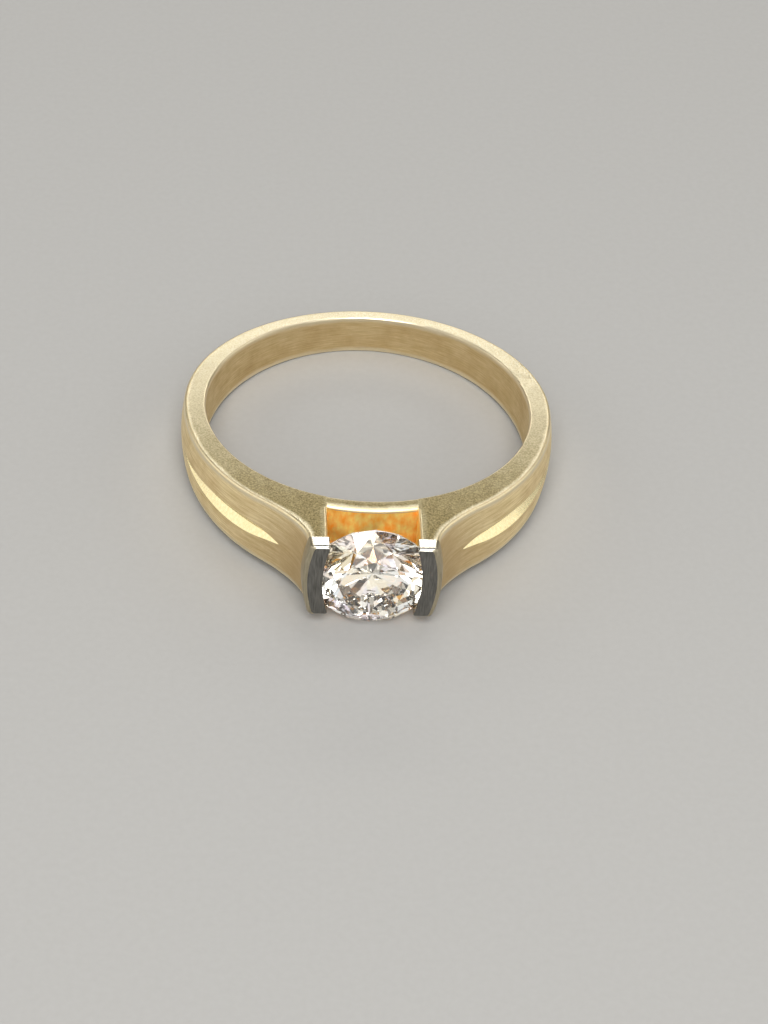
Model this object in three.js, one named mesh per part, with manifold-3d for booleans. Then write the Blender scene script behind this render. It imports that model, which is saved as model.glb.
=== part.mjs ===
// A solitaire engagement ring: a satin yellow-gold band whose two grooved shoulders sweep up into a
// pair of walls, a white-metal tip on each wall, and one round brilliant held between the tips.
//
// Millimetres. While it is drawn the ring has its finger axis along Z, the stone facing -Y and X
// across. At the end it is laid down as it rests on a table: on the edge of the stone and on the
// back of the band. The origin is the middle of its footprint, on the table.
import * as THREE from "three";
import { mergeVertices } from "three/addons/utils/BufferGeometryUtils.js";
import Module from "manifold-3d";

// ---- Driving dimensions ---------------------------------------------------------------------
// Band
const BORE_R = 8.5; // inside radius, a 17 mm finger hole
const BACK_THICKNESS = 0.85; // opposite the stone
const SIDE_THICKNESS = 1.25; // a quarter turn from the stone
const SHOULDER_RISE = 2.2; // how far outside the bore the shoulders' curve would top out
const BACK_WIDTH = 2.17; // along the finger, opposite the stone
const HEAD_WIDTH = 4.36; // along the finger, at the face of the tips
const DOME_R = 7.0; // cross curvature of the outer face, and of both sides of a tip
const EDGE_CHAMFER = 0.16; // broken edge along the outside of the band
const BORE_CHAMFER = 0.08; // broken edge along the bore

// Stone, a round brilliant
const STONE_D = 5.8;
const TABLE_SHARE = 0.57; // table across its corners, over the stone's diameter
const STAR_SHARE = 0.5; // length of a star facet, from the table's edge towards the girdle
const LOWER_HALF_SHARE = 0.77; // length of a lower half facet, from the girdle towards the point
const CROWN_ANGLE = 34.5; // degrees
const PAVILION_ANGLE = 40.8; // degrees
const GIRDLE_THICKNESS = 0.15;

// Head
const BRIDGE_THICKNESS = 0.8; // the bar that closes the finger hole under the stone
const POINT_CLEARANCE = 0.06; // from the bar to the stone's point
const WALL_COVER = 0.62; // how far the stone's edge passes over each gold wall
const TIP_COVER = 0.45; // how far each white tip laps over the stone's edge
const TIP_ABOVE_GIRDLE = 0.5; // from the middle of the girdle up to the face of the tips
const TIP_DEPTH = 0.8; // white metal, from the face down to the solder
const TIP_WIDTH = 0.97; // across a tip's face at its middle, with the broken edge
const TIP_CHAMFER = 0.18; // broken outer edge of a tip's face
const WALL_LEAN = 5.7; // degrees that the outside of a wall leans towards the stone

// Shoulders and their groove. Angles are about the finger axis, counted from the stone.
const SHOULDER_START = 80; // degrees, where a shoulder is soldered to the band
const SWEEP_START = 33; // degrees, where the outside starts to sweep up to the wall
const SWEEP_PULL = 1.4; // how long the sweep keeps the shoulder's direction
const WALL_PULL = 0.8; // how long it keeps the wall's direction
const GROOVE_START = 76; // degrees, the groove's end on the band's side
const GROOVE_END = 0.41; // share of the sweep that the groove runs into
const GROOVE_DEPTH = 0.31; // at the middle of its length
const GROOVE_HALF_ANGLE = 50; // degrees, half of the V

// Joints
const SOLDER = 0.05; // thickness of a soldered joint
const JOINT_GAP = 0.01; // from the solder to the metal on each side of it
const SEAT_CLEARANCE = 0.03; // round the stone, in its seat

// ---- Sizes that follow ----------------------------------------------------------------------
const rad = THREE.MathUtils.degToRad;
const deg = THREE.MathUtils.radToDeg;
const mix = THREE.MathUtils.lerp;
const STONE_R = STONE_D / 2;
const TABLE_R = STONE_R * TABLE_SHARE;
const PAVILION_DEPTH = STONE_R * Math.tan(rad(PAVILION_ANGLE));
const JOINT = SOLDER + 2 * JOINT_GAP;
const BACK_Y = BORE_R + BACK_THICKNESS;
const BRIDGE_R = BORE_R + BRIDGE_THICKNESS;
const GIRDLE_FOOT_Y = -(BRIDGE_R + POINT_CLEARANCE + PAVILION_DEPTH);
const GIRDLE_TOP_Y = GIRDLE_FOOT_Y - GIRDLE_THICKNESS;
const FACE_Y = (GIRDLE_FOOT_Y + GIRDLE_TOP_Y) / 2 - TIP_ABOVE_GIRDLE;
const TIP_FOOT_Y = FACE_Y + TIP_DEPTH;
const WALL_TOP_Y = TIP_FOOT_Y + JOINT;
const WINDOW_X = STONE_R - WALL_COVER; // inner face of a gold wall
const TIP_INNER_X = STONE_R - TIP_COVER;
const WIDTH_SLOPE = (HEAD_WIDTH - BACK_WIDTH) / 2 / (BACK_Y - FACE_Y);

// ---- three.js geometry made into a manifold solid, and back ------------------------------------
const wasm = await Module();
wasm.setup();

function solidOf(geometry) {
  const bare = geometry.clone();
  bare.deleteAttribute("normal");
  bare.deleteAttribute("uv");
  const welded = mergeVertices(bare, 1e-4);
  return new wasm.Manifold(
    new wasm.Mesh({
      numProp: 3,
      vertProperties: welded.attributes.position.array,
      triVerts: new Uint32Array(welded.index.array),
    }),
  );
}

function geometryOf(solid) {
  const mesh = solid.getMesh();
  const geometry = new THREE.BufferGeometry();
  geometry.setAttribute("position", new THREE.BufferAttribute(mesh.vertProperties, 3));
  geometry.setIndex(new THREE.BufferAttribute(mesh.triVerts, 1));
  const faceted = geometry.toNonIndexed();
  faceted.computeVertexNormals();
  return faceted;
}

// A box of cells bent into shape: place(u, v, w) says where a point of the unit box goes, with u
// and v from 0 to 1 and w from -1 to 1.
function bentBox(cells, place) {
  const geometry = new THREE.BoxGeometry(1, 1, 1, cells.u, cells.v, cells.w);
  const points = geometry.attributes.position;
  for (let i = 0; i < points.count; i += 1) {
    const spot = place(points.getX(i) + 0.5, points.getY(i) + 0.5, points.getZ(i) * 2);
    points.setXYZ(i, spot.x, spot.y, spot.z);
  }
  return geometry;
}

// ---- Outlines across the finger axis -----------------------------------------------------------
// Half of the band's width at a place along Y: its two side faces are flat and open to the head.
function halfWidth(y) {
  return BACK_WIDTH / 2 + (BACK_Y - y) * WIDTH_SLOPE;
}

// How far the outer face falls away from its crown at a distance z from the middle.
function domeDrop(z) {
  return DOME_R - Math.sqrt(DOME_R * DOME_R - z * z);
}

function polar(radius, degrees) {
  return new THREE.Vector2(radius * Math.sin(rad(degrees)), -radius * Math.cos(rad(degrees)));
}

// Crown line of the band: half an ellipse behind, and half of a deeper one in front.
function crownAt(degrees) {
  const across = Math.sin(rad(degrees)) / (BORE_R + SIDE_THICKNESS);
  const along = Math.cos(rad(degrees));
  const reach = BORE_R + (along < 0 ? BACK_THICKNESS : SHOULDER_RISE);
  return polar(1 / Math.hypot(across, along / reach), degrees);
}

function wallOuterX(y) {
  return TIP_INNER_X + TIP_WIDTH + (y - FACE_Y) * Math.tan(rad(WALL_LEAN));
}

// The sweep from the shoulder up to the wall is one curve, tangent to both.
const sweepStart = crownAt(SWEEP_START);
const sweepDirection = sweepStart.clone().sub(crownAt(SWEEP_START + 1)).normalize();
const wallTop = new THREE.Vector2(wallOuterX(WALL_TOP_Y), WALL_TOP_Y);
const wallDirection = new THREE.Vector2(Math.sin(rad(WALL_LEAN)), Math.cos(rad(WALL_LEAN)));
const sweep = new THREE.CubicBezierCurve(
  sweepStart,
  sweepStart.clone().addScaledVector(sweepDirection, SWEEP_PULL),
  wallTop.clone().addScaledVector(wallDirection, WALL_PULL),
  wallTop,
);

// ---- Sections of the gold: four points from the bore to the crown, with broken edges -----------
const SECTION_ROWS = 3;

function sectionPoint(inner, crown, v, w) {
  const row = Math.round(v * SECTION_ROWS);
  const thickness = inner.distanceTo(crown);
  const surface = thickness - domeDrop(w * halfWidth(crown.y));
  const depth = [0, BORE_CHAMFER, surface - EDGE_CHAMFER, surface][row];
  const inset = [BORE_CHAMFER, 0, 0, EDGE_CHAMFER][row];
  const spot = inner.clone().lerp(crown, depth / thickness);
  return new THREE.Vector3(spot.x, spot.y, w * (halfWidth(spot.y) - inset));
}

// A stretch of band from one angle down to another, with radial sections.
function bandStretch(from, to, cells) {
  return bentBox({ u: cells, v: SECTION_ROWS, w: 6 }, (u, v, w) => {
    const degrees = mix(from, to, u);
    return sectionPoint(polar(BORE_R, degrees), crownAt(degrees), v, w);
  });
}

// ---- Shoulder with its wall, on the right-hand side ---------------------------------------------
const WINDOW_ANGLE = deg(Math.asin(WINDOW_X / BORE_R));
const BAND_SHARE = 0.7; // of the shoulder's length, the part before the corner of the window

function shoulderBlank() {
  const corner = polar(BORE_R, WINDOW_ANGLE);
  const wallTopInside = new THREE.Vector2(WINDOW_X, WALL_TOP_Y);
  return bentBox({ u: 30, v: SECTION_ROWS, w: 6 }, (u, v, w) => {
    if (u <= BAND_SHARE) {
      const bore = mix(SHOULDER_START, WINDOW_ANGLE, u / BAND_SHARE);
      const crown = mix(SHOULDER_START, SWEEP_START, u / BAND_SHARE);
      return sectionPoint(polar(BORE_R, bore), crownAt(crown), v, w);
    }
    const along = (u - BAND_SHARE) / (1 - BAND_SHARE);
    return sectionPoint(corner.clone().lerp(wallTopInside, along), sweep.getPoint(along), v, w);
  });
}

// A V cutter that runs along the crown line. Its edge enters and leaves the metal at a shallow
// angle, so the cut is widest in the middle and comes to a point at both ends.
function grooveCutter() {
  const steps = 8;
  const overBand = (i) => crownAt(mix(GROOVE_START, SWEEP_START, i / steps));
  const overSweep = (i) => sweep.getPointAt((GROOVE_END * i) / steps);
  const stations = [...Array(steps + 1).keys()];
  const line = new THREE.SplineCurve([...stations.map(overBand), ...stations.slice(1).map(overSweep)]);
  const nose = 0.01; // half width of the cutter's edge
  const lift = 0.02; // how far the cutter's edge is outside the metal at both ends
  const top = 0.4; // how far the cutter's back is outside the metal
  return bentBox({ u: 28, v: 1, w: 1 }, (u, v, w) => {
    const tangent = line.getTangentAt(u);
    const outward = new THREE.Vector2(-tangent.y, tangent.x);
    const depth = (GROOVE_DEPTH + lift) * (1 - (2 * u - 1) ** 2) - lift;
    const height = v > 0.5 ? top : -depth;
    const spot = line.getPointAt(u).addScaledVector(outward, height);
    const half = nose + (height + depth) * Math.tan(rad(GROOVE_HALF_ANGLE));
    return new THREE.Vector3(spot.x, spot.y, w * half);
  });
}

// ---- Bar across the finger hole, between two flat ends ------------------------------------------
function bar(fromX, toX, cells) {
  return bentBox({ u: cells, v: SECTION_ROWS, w: 6 }, (u, v, w) => {
    const x = mix(fromX, toX, u);
    const row = Math.round(v * SECTION_ROWS);
    const radius = [BORE_R, BORE_R + BORE_CHAMFER, BRIDGE_R - EDGE_CHAMFER, BRIDGE_R][row];
    const inset = [BORE_CHAMFER, 0, 0, EDGE_CHAMFER][row];
    const y = -Math.sqrt(radius * radius - x * x);
    return new THREE.Vector3(x, y, w * (halfWidth(y) - inset));
  });
}

// ---- Tip, and the solder under it: crescent blocks on the right-hand side -----------------------
function crescent(footY, faceY, faceChamfer) {
  return bentBox({ u: 2, v: 2, w: 8 }, (u, v, w) => {
    const y = [footY, faceY + faceChamfer, faceY][Math.round(v * 2)];
    const fall = domeDrop(w * halfWidth(y));
    const outer = wallOuterX(y) - fall - (v > 0.75 ? faceChamfer : 0);
    const x = [outer, outer - EDGE_CHAMFER, TIP_INNER_X - fall][Math.round(u * 2)];
    const inset = u < 0.25 ? EDGE_CHAMFER : 0;
    return new THREE.Vector3(x, y, w * (halfWidth(y) - inset));
  });
}

// ---- Stone: a cylinder cut facet by facet, its table up along Z and its girdle's top at zero ----
function brilliant() {
  const slope = Math.tan(rad(CROWN_ANGLE));
  const pavilionSlope = Math.tan(rad(PAVILION_ANGLE));
  const crownHeight = (STONE_R - TABLE_R) * slope;
  const eighth = rad(45);
  const tableEdge = TABLE_R * Math.cos(eighth / 2);
  const starTip = tableEdge + STAR_SHARE * (STONE_R - tableEdge);
  const starTipHeight = (STONE_R - starTip * Math.cos(eighth / 2)) * slope;
  const lowerTip = STONE_R * (1 - LOWER_HALF_SHARE);
  const lowerTipDepth = (STONE_R - lowerTip * Math.cos(eighth / 2)) * pavilionSlope;
  const halfEdge = STONE_R * Math.cos(eighth / 4); // where the girdle facets' planes meet zero
  const halfSlope = starTipHeight / (halfEdge - starTip * Math.cos(eighth / 4));
  const lowerSlope = lowerTipDepth / (halfEdge - lowerTip * Math.cos(eighth / 4));
  const starSlope = (crownHeight - starTipHeight) / (starTip - tableEdge);

  const rough = new THREE.CylinderGeometry(STONE_R, STONE_R, STONE_D, 64);
  rough.rotateX(Math.PI / 2);
  let stone = solidOf(rough);

  // Takes away all that lies outside a plane. At radius and height it slopes down outwards for
  // positive slopes, and up outwards for negative ones.
  const cut = (azimuth, radius, height, planeSlope) => {
    const side = planeSlope < 0 ? -1 : 1;
    const tilt = Math.atan(Math.abs(planeSlope)); // from level
    const distance = radius * Math.sin(tilt) + side * height * Math.cos(tilt);
    const tool = new THREE.BoxGeometry(3 * STONE_D, 3 * STONE_D, STONE_D);
    tool.translate(0, 0, STONE_D / 2 + distance);
    tool.rotateY(side > 0 ? tilt : Math.PI - tilt);
    tool.rotateZ(azimuth);
    stone = stone.subtract(solidOf(tool));
  };

  cut(0, 0, crownHeight, 0);
  for (let i = 0; i < 8; i += 1) {
    const main = i * eighth;
    cut(main, STONE_R, 0, slope);
    cut(main, STONE_R, -GIRDLE_THICKNESS, -pavilionSlope);
    cut(main + eighth / 2, tableEdge, crownHeight, starSlope);
    for (const half of [main + eighth / 4, main - eighth / 4]) {
      cut(half, halfEdge, 0, halfSlope);
      cut(half, halfEdge, -GIRDLE_THICKNESS, -lowerSlope);
    }
  }
  const turned = geometryOf(stone);
  turned.rotateX(Math.PI / 2);
  turned.translate(0, GIRDLE_TOP_Y, 0);
  return turned;
}

// The room that the stone takes in the metal, with the seat's clearance all round.
function stoneRoom() {
  const radius = STONE_R + SEAT_CLEARANCE;
  const rise = radius * Math.tan(rad(CROWN_ANGLE));
  const drop = radius * Math.tan(rad(PAVILION_ANGLE));
  const top = GIRDLE_TOP_Y - SEAT_CLEARANCE / 2;
  const foot = GIRDLE_FOOT_Y + SEAT_CLEARANCE / 2;
  const profile = [
    new THREE.Vector2(0, top - rise),
    new THREE.Vector2(radius, top),
    new THREE.Vector2(radius, foot),
    new THREE.Vector2(0, foot + drop),
  ];
  return solidOf(new THREE.LatheGeometry(profile, 64));
}

// ---- Materials ----------------------------------------------------------------------------------
const finish = (color, roughness) => () =>
  new THREE.MeshStandardMaterial({ color, roughness, metalness: 1 });
const satinGold = finish(0xd9bf86, 0.42);
const whiteMetal = finish(0xc9cac6, 0.2);
const solderGold = finish(0xd2b678, 0.3);
const solderWhite = finish(0xbdb9a8, 0.3);
const diamond = () =>
  new THREE.MeshStandardMaterial({ color: 0xf2f4f5, roughness: 0.02, metalness: 0 });

// ---- Assembly -----------------------------------------------------------------------------------
const ring = new THREE.Group();

function add(name, geometry, material) {
  const mesh = new THREE.Mesh(geometry, material());
  mesh.name = name;
  ring.add(mesh);
  return mesh;
}

// The left-hand piece is the right-hand piece seen in a mirror.
function addPair(name, geometry, material) {
  add(`${name}_right`, geometry, material);
  add(`${name}_left`, geometry, material).scale.x = -1;
}

const jointAngle = deg(JOINT / BORE_R);
const gapAngle = deg(JOINT_GAP / BORE_R);
const shankEnd = SHOULDER_START + jointAngle;
const room = stoneRoom();
const cutFor = (blank, ...tools) =>
  geometryOf(tools.reduce((metal, tool) => metal.subtract(tool), solidOf(blank)));

add("shank", bandStretch(-shankEnd, shankEnd - 360, 44), satinGold);
addPair("shoulder", cutFor(shoulderBlank(), solidOf(grooveCutter()), room), satinGold);
add("gallery_bridge", bar(WINDOW_X - JOINT, JOINT - WINDOW_X, 10), satinGold);
addPair("tip", cutFor(crescent(TIP_FOOT_Y, FACE_Y, TIP_CHAMFER), room), whiteMetal);
add("diamond", brilliant(), diamond);
addPair("solder_shank", bandStretch(shankEnd - gapAngle, SHOULDER_START + gapAngle, 1), solderGold);
addPair("solder_bridge", bar(WINDOW_X - JOINT_GAP, WINDOW_X - JOINT_GAP - SOLDER, 1), solderGold);
addPair(
  "solder_tip",
  cutFor(crescent(WALL_TOP_Y - JOINT_GAP, TIP_FOOT_Y + JOINT_GAP, 0), room),
  solderWhite,
);

// ---- Laid down to rest --------------------------------------------------------------------------
// The stone stands wider than the head, so the ring lies on the stone's edge and on its own back.
const backRestY = BACK_Y - domeDrop(BACK_WIDTH / 2) - EDGE_CHAMFER;
ring.rotation.x = -Math.atan2(STONE_R - halfWidth(backRestY), backRestY - GIRDLE_FOOT_Y);
const footprint = new THREE.Box3().setFromObject(ring, true);
const middle = footprint.getCenter(new THREE.Vector3());
ring.position.set(-middle.x, -middle.y, -footprint.min.z);

const part = new THREE.Group();
part.add(ring);
export default part;
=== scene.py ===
# %% [markdown]
# # A solitaire engagement ring
#
# The ring is a goldsmith's assembly: a satin yellow-gold band, two grooved shoulders that sweep up
# into walls, a small bar that closes the finger hole under the stone, a polished white-gold tip on
# each wall, and a round brilliant held between the tips. This lesson builds each of those pieces
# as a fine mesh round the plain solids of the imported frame, and gives every one its real finish.
#
# Everything starts from the frame, so the first cell loads it and keeps its box.

# %% Load the frame
import math
import random

import bmesh
import bpy
from mathutils import Matrix, Vector
from mathutils.geometry import interpolate_bezier


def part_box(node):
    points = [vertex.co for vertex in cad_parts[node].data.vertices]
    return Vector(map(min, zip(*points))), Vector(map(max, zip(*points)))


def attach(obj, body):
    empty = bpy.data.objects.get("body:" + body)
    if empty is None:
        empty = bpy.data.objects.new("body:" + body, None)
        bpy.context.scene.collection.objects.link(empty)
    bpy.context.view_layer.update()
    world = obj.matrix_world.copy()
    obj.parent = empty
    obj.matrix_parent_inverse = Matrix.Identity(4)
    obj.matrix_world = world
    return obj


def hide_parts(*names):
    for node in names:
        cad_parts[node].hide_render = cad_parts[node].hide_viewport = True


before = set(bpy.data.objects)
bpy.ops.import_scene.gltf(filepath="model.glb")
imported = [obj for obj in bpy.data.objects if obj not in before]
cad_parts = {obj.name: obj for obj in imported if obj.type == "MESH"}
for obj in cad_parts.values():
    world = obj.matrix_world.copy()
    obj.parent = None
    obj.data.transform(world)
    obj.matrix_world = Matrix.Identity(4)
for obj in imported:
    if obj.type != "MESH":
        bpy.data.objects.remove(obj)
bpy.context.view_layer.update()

print("CAD pieces:", ", ".join(sorted(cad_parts)))

# %% [markdown]
# ## Sizes
#
# A goldsmith works from a short list: the finger size, the gauge of the band, the stone's diameter
# and its angles. All the other sizes follow from them. They are in millimetres, and the ring is
# drawn the way it is drawn on paper, with the finger's axis along Z, the stone towards -Y and the
# width of the ring along X. At the end each mesh is laid down on the table by one matrix.

# %% The goldsmith's list
MM = 0.001  # a millimetre in Blender's metres
BORE_R = 8.5  # inside radius of the band
BACK_THICKNESS = 0.85  # opposite the stone
SIDE_THICKNESS = 1.25  # a quarter turn from the stone
SHOULDER_RISE = 2.2  # how far outside the bore the shoulders' curve would top out
BACK_WIDTH = 2.17  # along the finger, opposite the stone
HEAD_WIDTH = 4.36  # along the finger, at the face of the tips
DOME_R = 7.0  # cross curvature of the outer face, and of both sides of a tip
STONE_R = 2.9
TABLE_SHARE = 0.57
STAR_SHARE = 0.5
LOWER_HALF_SHARE = 0.77
CROWN_ANGLE = math.radians(34.5)
PAVILION_ANGLE = math.radians(40.8)
GIRDLE_THICKNESS = 0.15
BRIDGE_R = BORE_R + 0.8  # the bar is 0.8 mm thick
POINT_CLEARANCE = 0.06  # from the bar to the stone's point
WINDOW_X = STONE_R - 0.62  # inner face of a gold wall
TIP_INNER_X = STONE_R - 0.45  # how far a tip laps over the stone
TIP_WIDTH = 0.97
TIP_DEPTH = 0.8
TIP_ABOVE_GIRDLE = 0.5
WALL_LEAN = math.radians(5.7)
JOINT = 0.07  # a soldered joint
SEAT_CLEARANCE = 0.03  # round the stone, in its seat

BACK_Y = BORE_R + BACK_THICKNESS
GIRDLE_FOOT_Y = -(BRIDGE_R + POINT_CLEARANCE + STONE_R * math.tan(PAVILION_ANGLE))
GIRDLE_TOP_Y = GIRDLE_FOOT_Y - GIRDLE_THICKNESS
FACE_Y = (GIRDLE_FOOT_Y + GIRDLE_TOP_Y) / 2 - TIP_ABOVE_GIRDLE
TIP_FOOT_Y = FACE_Y + TIP_DEPTH
WALL_TOP_Y = TIP_FOOT_Y + JOINT
print(f"the tips' faces are {BACK_Y - FACE_Y:.2f} mm in front of the back of the band")

# %% [markdown]
# ## Lines that the metal follows
#
# The outline of the ring is two lines seen along the finger: the bore, and the crown line that
# runs over the middle of the outer face. Behind, the crown line is half an ellipse. In front it is
# half of a deeper one, and then a sweep, one Bezier curve, that turns each shoulder up into its
# wall. Across the finger the band is widest at the head, and its outer face is gently domed.


# %% Outline functions
def mix(a, b, share):
    return a + (b - a) * share


def half_width(y):
    """Half of the band's width at a place along Y: the side faces are flat and open to the head."""
    return BACK_WIDTH / 2 + (BACK_Y - y) * (HEAD_WIDTH - BACK_WIDTH) / 2 / (BACK_Y - FACE_Y)


def dome_drop(z, radius=DOME_R):
    """How far a domed face has fallen at a distance z from its middle. A radius of 0 is flat."""
    return radius - math.sqrt(radius * radius - z * z) if radius else 0.0


def polar(radius, degrees):
    return Vector((radius * math.sin(math.radians(degrees)), -radius * math.cos(math.radians(degrees))))


def crown_at(degrees):
    """The crown line at an angle about the finger, counted from the stone."""
    along = math.cos(math.radians(degrees))
    across = math.sin(math.radians(degrees)) / (BORE_R + SIDE_THICKNESS)
    reach = BORE_R + (BACK_THICKNESS if along < 0 else SHOULDER_RISE)
    return polar(1 / math.hypot(across, along / reach), degrees)


def wall_outer_x(y):
    """The outside of a wall, which leans towards the stone."""
    return TIP_INNER_X + TIP_WIDTH + (y - FACE_Y) * math.tan(WALL_LEAN)


def stone_room(y, z):
    """How far from the middle the metal has to stay to leave the stone its room."""
    radius = STONE_R + SEAT_CLEARANCE
    if y < GIRDLE_TOP_Y:
        radius -= (GIRDLE_TOP_Y - y) / math.tan(CROWN_ANGLE)
    if y > GIRDLE_FOOT_Y:
        radius -= (y - GIRDLE_FOOT_Y) / math.tan(PAVILION_ANGLE)
    return math.sqrt(radius * radius - z * z) if radius > abs(z) else 0.0


print(f"the band is {2 * half_width(BACK_Y):.2f} mm wide behind")
print(f"and {2 * half_width(FACE_Y):.2f} mm at the head")

# %% [markdown]
# ## One cross-section for all the metal
#
# Band, shoulders, bar and tips are all bars of metal with the same kind of section: a domed outer
# face, two flat sides, an inner face, and four edges that a file and a buffing wheel have rounded.
# Only half of it is worked out, from the middle of the outer face round to the middle of the inner
# face, because the mirror operator makes the other half.
#
# Each point says how deep it lies from the inner line, which share of the half width it keeps, and
# how far it is inset from the side. It also carries the name of the face that follows it, so that
# each face can get its own finish, and its distance from the nearest edge, because handling
# polishes satin metal there first.

# %% Half of a section
ARC_STEPS = 6  # segments in a rounded edge
FACE_STEPS = 8  # segments across half of a broad face
SIDE_STEPS = 8  # segments across a flat side
SUPPORT = 0.02  # a row this close to a rounded edge keeps the flat beside it flat
NO_GROOVE = 0.015  # half width of the strip that the groove leaves where it has run out
GROOVE_TAN = math.tan(math.radians(50))  # half of the V


def groove_half_width(depth):
    """Where a V of that depth meets the domed face, taking the dome as a parabola."""
    slope = 1 / GROOVE_TAN
    width = DOME_R * (math.sqrt(slope * slope + 2 * depth / DOME_R) - slope)
    return max(width, NO_GROOVE)


def half_section(thickness, width, edge_r, inner_r, dome=DOME_R, groove=0.0, hollow=False):
    """Half of a section as rows of (depth, share, inset, face) from the outer to the inner middle."""
    centre_z = width - edge_r
    start = math.asin(centre_z / (dome - edge_r)) if dome else 0.0
    centre_depth = thickness - dome + (dome - edge_r) * math.cos(start) if dome else thickness - edge_r
    arc_z = centre_z + edge_r * math.sin(start)
    groove_z = groove_half_width(groove)
    rows = [(thickness - groove, 0.0, 0.0, "groove")]
    for step in range(FACE_STEPS + 1):
        z = mix(groove_z, arc_z - SUPPORT, step / FACE_STEPS)
        rows.append((thickness - dome_drop(z, dome), z / width, 0.0, "outer"))
    for step in range(ARC_STEPS + 1):
        turn = mix(start, math.pi / 2, step / ARC_STEPS)
        face = "edge" if step < ARC_STEPS else "side"
        rows.append((centre_depth + edge_r * math.cos(turn), 1.0, edge_r * (1 - math.sin(turn)), face))
    foot = -dome_drop(width - inner_r) if hollow else 0.0
    for step in range(SIDE_STEPS + 1):
        depth = mix(centre_depth - SUPPORT, foot + inner_r + SUPPORT, step / SIDE_STEPS)
        rows.append((depth, 1.0, 0.0, "side"))
    for step in range(ARC_STEPS + 1):
        turn = math.pi / 2 * step / ARC_STEPS
        face = "inner_edge" if step < ARC_STEPS else "inner"
        rows.append((foot + inner_r * (1 - math.sin(turn)), 1.0, inner_r * (1 - math.cos(turn)), face))
    for step in range(FACE_STEPS + 1):
        z = mix(width - inner_r - SUPPORT, 0.0, step / FACE_STEPS)
        rows.append((-dome_drop(z) if hollow else 0.0, z / width, 0.0, "inner"))
    return rows


def edge_distances(rows, width):
    """How far each row is from the nearest rounded edge, in the plane of the section."""
    flat = [(depth, share * width - inset) for depth, share, inset, _ in rows]
    worn = [spot for spot, row in zip(flat, rows) if "edge" in row[3]]
    return [min(math.dist(spot, edge) for edge in worn) for spot in flat]


def station(inner, crown, rows, shrink=0.0):
    """Places a half section between its inner and its crown point, narrowed by shrink."""
    thickness = (crown - inner).length
    points = []
    for depth, share, inset, _ in rows:
        spot = inner.lerp(crown, depth / thickness)
        z = share * (half_width(spot.y) - shrink) - inset
        points.append(Vector((spot.x, spot.y, z)))
    return points


sample = half_section(thickness=1.2, width=1.5, edge_r=0.16, inner_r=0.1)
print(f"half a section has {len(sample)} rows")

# %% [markdown]
# ## Drawing a bar of metal
#
# In the editor this would be done by drawing the section once and extruding it again and again,
# each time moving the new copy to its next place. The same is done here. extrude_edge_only makes
# the copies, and a number kept on each vertex, which the copies inherit, says which row of the
# next section it goes to. Then mirror closes the tube, holes_fill closes its ends, and edges that
# turn sharply are marked sharp so that the shading breaks there and nowhere else.

# %% Loft, mirror and close
SHARP = math.radians(28)
MERGE = 1e-4  # mm, closer than this is one point
OUTSIDE = 1.0  # mm, taken off the grain's depth on the outer half, so that a material can tell


def loft(stations, rows, finish):
    """A closed bar through half sections. finish(face, station) gives a face's material number."""
    mesh = bmesh.new()
    row_of = mesh.verts.layers.int.new("row")
    grain = mesh.verts.layers.float_vector.new("grain_mm")
    edge_mm = mesh.verts.layers.float.new("edge_mm")
    wear = [edge_distances(each, half_width(points[0].y)) for each, points in zip(rows, stations)]
    along = 0.0
    fresh = []
    for number, spot in enumerate(stations[0]):
        vert = mesh.verts.new(spot)
        vert[row_of] = number
        fresh.append(vert)
    edges = [mesh.edges.new(pair) for pair in zip(fresh, fresh[1:])]
    for place, points in enumerate(stations):
        if place:
            along += (points[0] - stations[place - 1][0]).length
            made = bmesh.ops.extrude_edge_only(mesh, edges=edges)["geom"]
            fresh = [part for part in made if isinstance(part, bmesh.types.BMVert)]
            chain = set(fresh)
            lines = [part for part in made if isinstance(part, bmesh.types.BMEdge)]
            edges = [line for line in lines if chain.issuperset(line.verts)]
            for face in (part for part in made if isinstance(part, bmesh.types.BMFace)):
                first = min(vert[row_of] for vert in face.verts)
                face.material_index = finish(rows[place][first][3], place)
        for vert in fresh:
            number = vert[row_of]
            vert.co = points[number]
            depth = rows[place][number][0]
            below_crown = rows[place][1][0] - depth
            vert[grain] = (along, depth if depth < below_crown else -OUTSIDE - below_crown, 0.0)
            vert[edge_mm] = wear[place][number]
    half = mesh.verts[:] + mesh.edges[:] + mesh.faces[:]
    bmesh.ops.mirror(mesh, geom=half, axis="Z", merge_dist=MERGE)
    bmesh.ops.remove_doubles(mesh, verts=mesh.verts, dist=MERGE)
    for vert in mesh.verts:
        vert[grain] = (vert[grain].x, vert[grain].y, vert.co.z)
    ends = [edge for edge in mesh.edges if edge.is_boundary]
    for face in bmesh.ops.holes_fill(mesh, edges=ends, sides=0)["faces"]:
        face.material_index = finish("end", 0)
    return mesh


def soften(mesh, sharp=SHARP):
    """Smooth faces that point outwards, with the sharp edges marked."""
    bmesh.ops.recalc_face_normals(mesh, faces=mesh.faces)
    for face in mesh.faces:
        face.smooth = True
    for edge in mesh.edges:
        edge.smooth = edge.is_manifold and edge.calc_face_angle() < sharp


# %% [markdown]
# ## Laid down on the table
#
# The ring doesn't lie flat: the stone stands wider than the head, so the ring rests on the stone's
# edge and on the back of the band, tilted by a few degrees. The angle follows from the sizes. The
# place comes from the frame, because the finished ring has to cover the frame's own pieces.

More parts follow.
